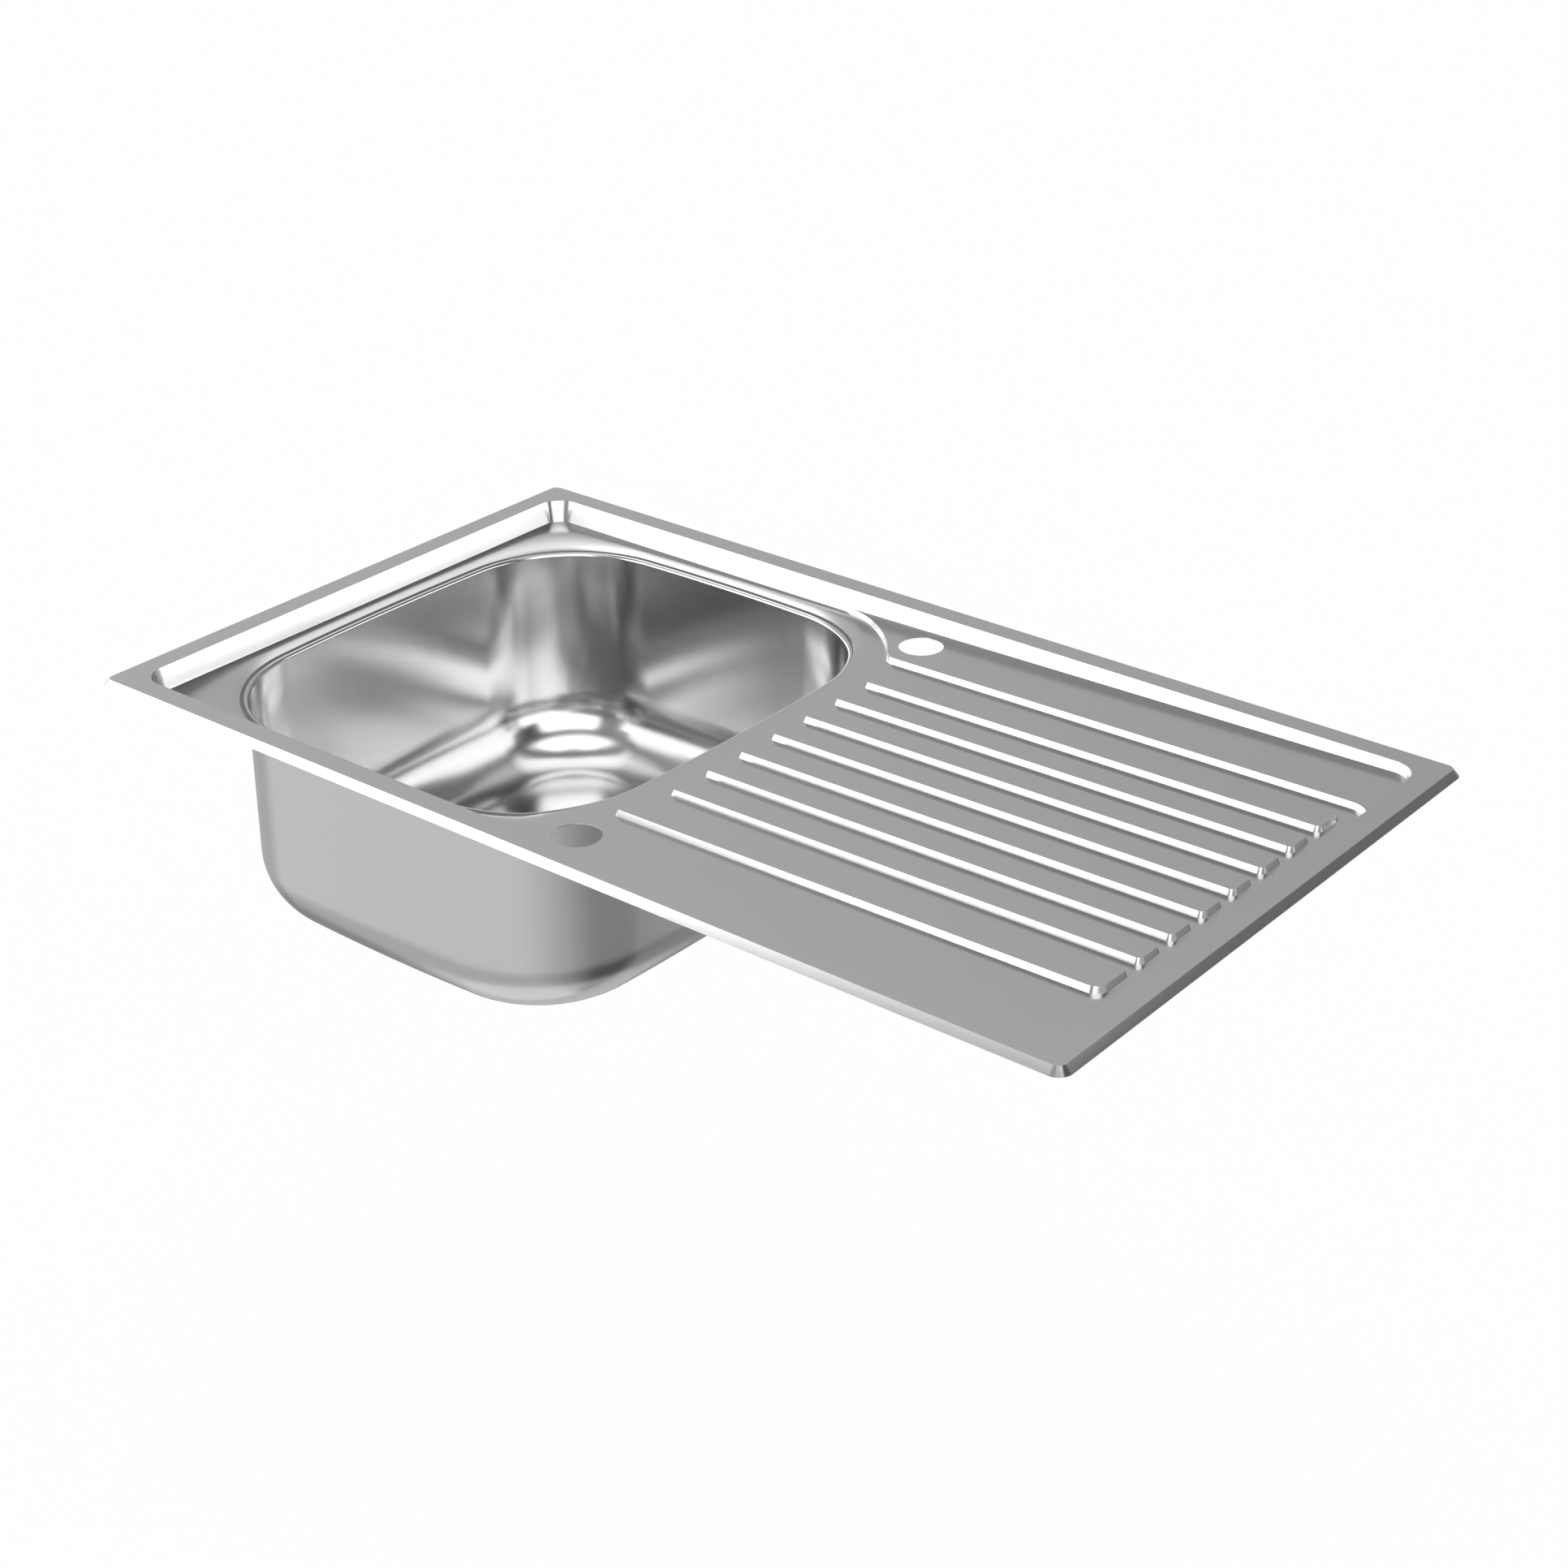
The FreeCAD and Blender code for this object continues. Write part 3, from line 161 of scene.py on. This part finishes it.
def new_material(name, colour, roughness, metallic):
    material = bpy.data.materials.new(name)
    material.use_nodes = True
    tree = material.node_tree
    shader = tree.nodes["Principled BSDF"]
    feed(tree, shader, "Base Color", (*colour, 1.0))
    feed(tree, shader, "Metallic", metallic)
    feed(tree, shader, "Roughness", roughness)
    return material, tree, shader


def vary_roughness(tree, shader, middle, value, amount):
    spread = math_node(tree, "MULTIPLY", value, amount)
    feed(tree, shader, "Roughness", math_node(tree, "ADD", spread, middle, clamp=True))


def add_bump(tree, shader, value, depth):
    bump = add_node(tree, "ShaderNodeBump")
    feed(tree, bump, "Height", value)
    feed(tree, bump, "Distance", depth)
    feed(tree, shader, "Normal", bump.outputs["Normal"])


def steel(name, colour, roughness, stretch, scale, spread, depth=0.0):
    """Bare or plated steel with a grain in its roughness and, where given, in its surface."""
    material, tree, shader = new_material(name, colour, roughness, 1.0)
    value = grain(tree, stretch, scale)
    vary_roughness(tree, shader, roughness, value, spread)
    if depth:
        add_bump(tree, shader, value, depth)
    return material


def rubber(name, colour, roughness, depth):
    """Matt moulded rubber with a fine grain in its surface."""
    material, tree, shader = new_material(name, colour, roughness, 0.0)
    value = grain(tree, EVEN, RUBBER_SCALE)
    vary_roughness(tree, shader, roughness, value, RUBBER_SPREAD)
    add_bump(tree, shader, value, depth)
    return material


def plastic(name, colour, roughness):
    """Moulded plastic, nearly smooth."""
    material, tree, shader = new_material(name, colour, roughness, 0.0)
    value = grain(tree, EVEN, PLASTIC_SCALE)
    vary_roughness(tree, shader, roughness, value, PLASTIC_SPREAD)
    add_bump(tree, shader, value, PLASTIC_DEPTH)
    return material


DECK_STEEL = steel("deck_steel", (0.66, 0.66, 0.66), roughness=0.20, stretch=ROLLED, scale=40.0, spread=0.05)
BOWL_STEEL = steel("bowl_steel", (0.68, 0.68, 0.68), roughness=0.18, stretch=EVEN, scale=220.0, spread=0.04)
# The weld seam is a real strip, but its dark grey is painted shade, standing for the groove between the
# deck's step and the bowl's lip.
WELD_PAINTED_SHADE = steel("weld_painted_shade", (0.22, 0.22, 0.22), roughness=0.50, stretch=EVEN, scale=900.0, spread=0.20,
                   depth=0.05 * MM)
POLISHED = steel("polished_steel", (0.72, 0.72, 0.72), roughness=0.12, stretch=EVEN, scale=300.0, spread=0.04)
RAIL_STEEL = steel("rail_steel", (0.50, 0.51, 0.52), roughness=0.34, stretch=DRAWN, scale=60.0, spread=0.15)
ZINC = steel("zinc_plate", (0.60, 0.60, 0.57), roughness=0.32, stretch=EVEN, scale=260.0, spread=0.22)
SCREW_ZINC = steel("screw_zinc", (0.56, 0.56, 0.54), roughness=0.28, stretch=TURNED, scale=400.0, spread=0.20)
SEAL_RUBBER = rubber("seal_rubber", (0.035, 0.035, 0.036), roughness=0.62, depth=0.04 * MM)
DAMPING = rubber("damping_rubber", (0.055, 0.055, 0.058), roughness=0.80, depth=0.12 * MM)
WASTE_PLASTIC = plastic("waste_plastic", (0.78, 0.78, 0.76), roughness=0.38)
KNOB_PLASTIC = plastic("knob_plastic", (0.03, 0.03, 0.03), roughness=0.30)


# ---- places on the pressing ----------------------------------------------------------------------


def smooth_step(value, low, high):
    share = min(max((value - low) / (high - low), 0.0), 1.0)
    return share * share * (3.0 - 2.0 * share)


def recess_offset(point):
    """Distance of a point from the mouth of the recess, negative inside, and the way out of it."""
    across = Vector((abs(point.x) - RECESS_HALF_X, abs(point.y) - RECESS_HALF_Y))
    across += Vector((RECESS_CORNER, RECESS_CORNER))
    if min(across) > 0.0:
        distance, way = across.length - RECESS_CORNER, across.normalized()
    else:
        distance = max(across) - RECESS_CORNER
        way = Vector((1.0, 0.0)) if across.x > across.y else Vector((0.0, 1.0))
    return distance, Vector((math.copysign(way.x, point.x), math.copysign(way.y, point.y), 0.0))


SIDE_CENTRE = Vector((BOWL_HALF_X - SIDE_RADIUS, 0.0))
END_CENTRE = Vector((0.0, BOWL_HALF_Y - END_RADIUS))
SEARCH_ROUNDS = 30


def find_corner_centre():
    """Centre of the arcs at the bowl's corners, which touch the two shallow arcs beside them."""
    x, y = BOWL_HALF_X - BOWL_CORNER, BOWL_HALF_Y - BOWL_CORNER
    for search in range(SEARCH_ROUNDS):
        x = SIDE_CENTRE.x + math.sqrt((SIDE_RADIUS - BOWL_CORNER) ** 2 - y * y)
        y = END_CENTRE.y + math.sqrt((END_RADIUS - BOWL_CORNER) ** 2 - x * x)
    return Vector((x, y))


CORNER_CENTRE = find_corner_centre()


def bowl_offset(point):
    """Distance of a point from the bowl's mouth, positive outside it, and the way out of it."""
    place = Vector((abs(point.x - BOWL_X), abs(point.y)))
    to_corner = place - CORNER_CENTRE
    past_side = to_corner.cross(CORNER_CENTRE - SIDE_CENTRE) < 0.0
    past_end = to_corner.cross(CORNER_CENTRE - END_CENTRE) > 0.0
    if past_side and past_end:
        centre, radius = CORNER_CENTRE, BOWL_CORNER
    elif past_side:
        centre, radius = END_CENTRE, END_RADIUS
    else:
        centre, radius = SIDE_CENTRE, SIDE_RADIUS
    way = place - centre
    distance = way.length - radius
    way.normalize()
    return distance, Vector((math.copysign(way.x, point.x - BOWL_X), math.copysign(way.y, point.y), 0.0))


# ---- forms added to the pressing, in millimetres -------------------------------------------------


# The recess's wall leans in by this much more at its foot. Its sheet lies between the two limits beside the
# wall's line, and the floor gives way over a short distance inside it.
WALL_EXTRA = 2.4
WALL_INSIDE, WALL_OUTSIDE = -0.3, 1.4
WALL_YIELD = 8.0

# Beside the drainboard the step, the lip and the weld rise to its level, between these two places in x, and
# the step's foot is drawn over the seam.
RISE_START, RISE_END = -68.0, -28.0
SEAM_COVER = 1.95

# The step takes in points this far past its edge and above the recess's floor, and the lip this far below it.
STEP_MARGIN, FLOOR_MARGIN = 2.0, 0.1
LIP_REACH = 12.0

# The weld's outer part, beyond its middle, runs out over the step's foot, and its top stands higher.
WELD_MIDDLE, WELD_SPREAD = 4.6, 1.1
WELD_LEVEL, WELD_RISE = -15.2, 0.8


def upwards(height):
    return Vector((0.0, 0.0, height))


def lean_wall(point):
    """Leans the recess's wall further, with its foot moved inwards and its top kept."""
    depth = (RIM_TOP - point.z) / RECESS_DEPTH
    if depth <= 0.0:
        return point
    distance, way = recess_offset(point)
    place = distance + RECESS_RUN * depth
    if place > WALL_OUTSIDE:
        return point
    give = min(max((place + WALL_YIELD) / (WALL_INSIDE + WALL_YIELD), 0.0), 1.0)
    return point - way * WALL_EXTRA * depth * give


def raise_right(point):
    """How far the step, the lip and the weld come up along the bowl's right side, from 0 to 1."""
    return smooth_step(point.x, RISE_START, RISE_END)


def reshape_deck(point):
    """The leaned recess wall, and the step round the bowl faded out beside the drainboard."""
    distance, way = bowl_offset(point)
    if distance < STEP_EDGE + STEP_MARGIN and point.z < RECESS_FLOOR + FLOOR_MARGIN:
        share = min(max((STEP_EDGE - distance) / (STEP_EDGE - STEP_FOOT), 0.0), 1.0)
        lift = raise_right(point)
        point = point + upwards(lift * STEP_DROP * share) - way * lift * SEAM_COVER * share
    return lean_wall(point)


def reshape_weld(point):
    """The ground weld: level with the lip, and run out over the foot of the step."""
    distance, way = bowl_offset(point)
    lift = raise_right(point)
    spread = WELD_SPREAD * (1.0 - lift) if distance > WELD_MIDDLE else 0.0
    point = point + way * spread
    if point.z > WELD_LEVEL:
        point = point + upwards(WELD_RISE * (1.0 - lift))
    return point + upwards(lift * LIP_DROP)


def reshape_lip(point):
    """The bowl's lip, raised with the step beside the drainboard."""
    if point.z < RECESS_FLOOR - LIP_REACH:
        return point
    return point + upwards(raise_right(point) * LIP_DROP)


# ---- pieces taken over from the solids -----------------------------------------------------------


# Points closer than this, in metres, are joined, triangles within the flat angle become one face, and edges
# past the fold angle stay sharp.
JOIN_GAP = 2e-6
FLAT_ANGLE, FOLD_ANGLE = radians((0.05, 30.0))


def skin(node, name, body, material, reshape=None):
    """A copy of a solid with its triangles joined, smooth over its curves and sharp at its folds."""
    mesh = nodes[node].data.copy()
    mesh.name = name
    work = bmesh.new()
    work.from_mesh(mesh)
    bmesh.ops.remove_doubles(work, verts=work.verts[:], dist=JOIN_GAP)
    bmesh.ops.dissolve_limit(work, angle_limit=FLAT_ANGLE, verts=work.verts[:], edges=work.edges[:])
    if reshape:
        for vert in work.verts:
            vert.co = reshape(vert.co / MM) * MM
    for face in work.faces:
        face.smooth = True
    for edge in work.edges:
        edge.smooth = edge.is_manifold and edge.calc_face_angle(0.0) < FOLD_ANGLE
    work.to_mesh(mesh)
    work.free()
    mesh.materials.clear()
    mesh.materials.append(material)
    piece = bpy.data.objects.new(name, mesh)
    scene.collection.objects.link(piece)
    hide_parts(node)
    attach(piece, body)


def dress_pressings():
    skin("deck", "deck_pressing", "sink", DECK_STEEL, reshape_deck)
    skin("bowl", "bowl_pressing", "sink", BOWL_STEEL, reshape_lip)
    # The weld strip wears the dark grey painted shade of its groove.
    skin("weld_seam", "weld_strip_painted_shade", "sink", WELD_PAINTED_SHADE, reshape_weld)


def dress_underside():
    skin("rim_gasket", "rim_seal", "sink", SEAL_RUBBER)
    skin("damping_pad", "sound_pad", "sink", DAMPING)
    skin("rail_front", "front_rail", "sink", RAIL_STEEL)
    skin("rail_back", "back_rail", "sink", RAIL_STEEL)
    skin("clip_brackets", "brackets", "sink", ZINC)


def dress_waste():
    skin("waste_seal_top", "upper_seal", "sink", SEAL_RUBBER)
    skin("waste_seal_bottom", "lower_seal", "sink", SEAL_RUBBER)
    skin("strainer_cup", "waste_cup", "sink", POLISHED)
    skin("waste_body", "moulded_body", "sink", WASTE_PLASTIC)
    skin("waste_screw", "long_screw", "sink", ZINC)


def dress_basket():
    skin("basket", "basket_cup", "basket", POLISHED)
    skin("basket_plug", "rubber_plug", "basket", SEAL_RUBBER)
    skin("basket_stem", "stem", "basket", POLISHED)
    skin("basket_knob", "knob", "basket", KNOB_PLASTIC)


CLIP_COUNT = 6


def dress_clips():
    for clip in range(1, CLIP_COUNT + 1):
        arm, clamp = f"clip_arm_{clip}", f"clamp_screw_{clip}"
        skin(arm, f"folding_arm_{clip}", arm, ZINC)
        skin(clamp, f"clamping_screw_{clip}", clamp, SCREW_ZINC)


# ---- floor ---------------------------------------------------------------------------------------


# Height of a kitchen floor below the worktop, and half the floor's width, in metres.
FLOOR_HEIGHT, FLOOR_HALF_WIDTH, FLOOR_SQUARES = -0.87, 30.0, 8
FLOOR_PAINT, FLOOR_ROUGHNESS = (0.86, 0.86, 0.86), 0.9

# Share of plain white in what the camera sees of the floor: the rest of it is paint, with the shadow.
FLOOR_WHITE = 0.97

# The floor glows in glossy rays with painted light, which the steel mirrors as a painted reflection: a
# brighter pool at the front, a painted brightening near the bowl, and painted shade towards the right and in
# a ring round the bowl. Directions are degrees in plan from the front, positive towards the bowl's end, and
# distances are metres from the bowl's middle.
FRONT_PAINTED_GLOW, REST_PAINTED_GLOW = 0.74, 0.50
FRONT_OPENING, FRONT_CLOSING = (-62, -12), (66, 86)
RIGHT_PAINTED_SHADE, RIGHT_OPENING, RIGHT_CLOSING = 0.20, (-150, -115), (-85, -48)
RING_PAINTED_SHADE, RING_OPENING, RING_CLOSING = 0.20, (0.45, 0.62), (0.85, 1.25)
NEAR_PAINTED_GLOW, NEAR_CLOSING = 0.12, (0.42, 0.56)


def turn_from_front(tree, x, y):
    """Direction of a place or a ray in plan: radians from the front, positive towards the bowl's end."""
    left, ahead = (math_node(tree, "MULTIPLY", part, -1.0) for part in (x, y))
    return math_node(tree, "ARCTAN2", left, ahead)


def painted_floor_glow(tree):
    """Painted glow of the floor in mirroring steel: painted light and shade by direction and by distance from
    the bowl.
    """
    place = add_node(tree, "ShaderNodeTexCoord").outputs["Object"]
    parts = add_node(tree, "ShaderNodeSeparateXYZ")
    feed(tree, parts, 0, place)
    azimuth = turn_from_front(tree, parts.outputs[0], parts.outputs[1])
    reach = add_node(tree, "ShaderNodeVectorMath", operation="DISTANCE")
    feed(tree, reach, 0, place)
    feed(tree, reach, 1, (BOWL_X * MM, 0.0, FLOOR_HEIGHT))
    reach = reach.outputs["Value"]
    front = window(tree, azimuth, radians(FRONT_OPENING), radians(FRONT_CLOSING))
    right = window(tree, azimuth, radians(RIGHT_OPENING), radians(RIGHT_CLOSING))
    ring = window(tree, reach, RING_OPENING, RING_CLOSING)
    painted_glow = math_node(tree, "MULTIPLY_ADD", front, FRONT_PAINTED_GLOW - REST_PAINTED_GLOW, REST_PAINTED_GLOW)
    painted_glow = math_node(tree, "ADD", painted_glow, ease(tree, reach, *NEAR_CLOSING, NEAR_PAINTED_GLOW, 0.0))
    painted_glow = math_node(tree, "MULTIPLY_ADD", ring, -RING_PAINTED_SHADE, painted_glow)
    return math_node(tree, "MULTIPLY_ADD", right, -RIGHT_PAINTED_SHADE, painted_glow)


def make_floor_paint():
    """Pale paint that takes the shadow, seen as white, and glowing with painted light and shade in mirroring
    steel.
    """
    material, tree, paint = new_material("floor_paint_and_glow", FLOOR_PAINT, FLOOR_ROUGHNESS, 0.0)
    light_path = add_node(tree, "ShaderNodeLightPath")
    camera, glossy = light_path.outputs["Is Camera Ray"], light_path.outputs["Is Glossy Ray"]
    # In glossy rays the floor glows with its painted light and shade; the camera sees plain white.
    white = add_node(tree, "ShaderNodeEmission")
    feed(tree, white, "Strength", mix_values(tree, camera, painted_floor_glow(tree), 1.0))
    mix = add_node(tree, "ShaderNodeMixShader")
    feed(tree, mix, 0, math_node(tree, "MAXIMUM", math_node(tree, "MULTIPLY", camera, FLOOR_WHITE), glossy))
    feed(tree, mix, 1, paint.outputs[0])
    feed(tree, mix, 2, white.outputs[0])
    feed(tree, tree.nodes["Material Output"], "Surface", mix.outputs[0])
    return material


def make_floor():
    """A wide pale floor at the height of a kitchen floor below the worktop."""
    work = bmesh.new()
    bmesh.ops.create_grid(work, x_segments=FLOOR_SQUARES, y_segments=FLOOR_SQUARES, size=FLOOR_HALF_WIDTH,
                          matrix=Matrix.Translation((0, 0, FLOOR_HEIGHT)))
    mesh = bpy.data.meshes.new("floor")
    work.to_mesh(mesh)
    work.free()
    mesh.materials.append(make_floor_paint())
    floor = bpy.data.objects.new("floor", mesh)
    scene.collection.objects.link(floor)


# ---- light ---------------------------------------------------------------------------------------


# The studio's plain light falls off from the bowl's end to the drainboard's, and overhead it is dimmed.
BASE_LEVEL, BASE_SLOPE = 0.33, -0.32
OVERHEAD_SHARE, OVERHEAD_HEIGHTS = 0.6, (36, 60)

# Soft light cards: directions in plan, in degrees from the front and positive towards the bowl's end, then
# heights in degrees, the softness of the sides and of the ends, and the strength.
CARDS = (
    ((12, 78), (-20, 33.8), 5.0, 1.8, 2.8),       # low, at the front left
    ((78, 118), (-20, 14), 5.0, 3.0, 2.2),        # low, past the bowl's end
    ((118, 150), (-20, 5), 5.0, 2.5, 1.6),        # lower, at the back left
    ((92, 132), (44, 60), 6.0, 4.0, 2.0),         # high, past the bowl's end
    ((132, 181), (40, 60), 8.0, 4.0, 0.9),        # high and weak, at the back
    ((-135, -96), (-20, 20), 4.0, 2.4, 2.4),      # low, at the back right
    ((-78, -16), (6, 44), 6.0, 4.0, 2.2),         # at the front right
    ((-112, 24), (56, 82), 14.0, 6.0, 2.0),       # overhead, at the front right
)


def light_card(tree, azimuth, height, sides, ends, side_softness, end_softness, strength):
    """Brightness of one soft card, by the direction in plan and the height of a ray."""
    low, high = radians(sides)
    turn = math.radians(side_softness)
    across = window(tree, azimuth, (low - turn, low + turn), (high - turn, high + turn))
    low, high = radians(ends)
    rise = math.radians(end_softness)
    upright = window(tree, height, (low - rise, low + rise), (high - rise, high + rise))
    return math_node(tree, "MULTIPLY", math_node(tree, "MULTIPLY", across, upright), strength)


def make_world():
    """A plain studio of dim light and soft cards, which the camera itself sees as white."""
    world = bpy.data.worlds.new("studio")
    world.use_nodes = True
    scene.world = world
    tree = world.node_tree
    parts = add_node(tree, "ShaderNodeSeparateXYZ")
    feed(tree, parts, 0, add_node(tree, "ShaderNodeTexCoord").outputs["Generated"])
    x, y, z = parts.outputs
    azimuth = turn_from_front(tree, x, y)
    height = math_node(tree, "ARCSINE", z)
    base = math_node(tree, "MULTIPLY_ADD", x, BASE_SLOPE, BASE_LEVEL)
    overhead = ease(tree, height, *radians(OVERHEAD_HEIGHTS), 1.0, OVERHEAD_SHARE)
    light = math_node(tree, "MULTIPLY", base, overhead)
    for card in CARDS:
        light = math_node(tree, "ADD", light, light_card(tree, azimuth, height, *card))
    camera = add_node(tree, "ShaderNodeLightPath").outputs["Is Camera Ray"]
    shade = tree.nodes["Background"]
    feed(tree, shade, "Color", (1.0, 1.0, 1.0, 1.0))
    feed(tree, shade, "Strength", mix_values(tree, camera, light, 1.0))


# ---- camera --------------------------------------------------------------------------------------


# Place in metres, and degrees to the left, downwards and of roll. The lens and the sensor are millimetres.
CAMERA_PLACE = (1.20622, -1.47251, 0.93984)
CAMERA_PAN, CAMERA_PITCH, CAMERA_ROLL = 38.8062, 27.3632, -0.1384
LENS, SENSOR_WIDTH = 67.70, 36.0


def make_camera():
    """Stands where the photograph was taken from, looking down over the drainboard's front corner."""
    data = bpy.data.cameras.new("camera")
    data.sensor_width = SENSOR_WIDTH
    data.lens = LENS
    camera = bpy.data.objects.new("camera", data)
    scene.collection.objects.link(camera)
    pan, pitch, roll = radians((CAMERA_PAN, CAMERA_PITCH, CAMERA_ROLL))
    ahead = Vector((-math.sin(pan) * math.cos(pitch), math.cos(pan) * math.cos(pitch), -math.sin(pitch)))
    right = Vector((math.cos(pan), math.sin(pan), 0.0))
    up = right.cross(ahead)
    right, up = right * math.cos(roll) + up * math.sin(roll), up * math.cos(roll) - right * math.sin(roll)
    turn = Matrix((right, up, -ahead)).transposed().to_4x4()
    camera.matrix_world = Matrix.Translation(CAMERA_PLACE) @ turn
    scene.camera = camera


dress_pressings()
dress_underside()
dress_waste()
dress_basket()
dress_clips()
make_floor()
make_world()
make_camera()
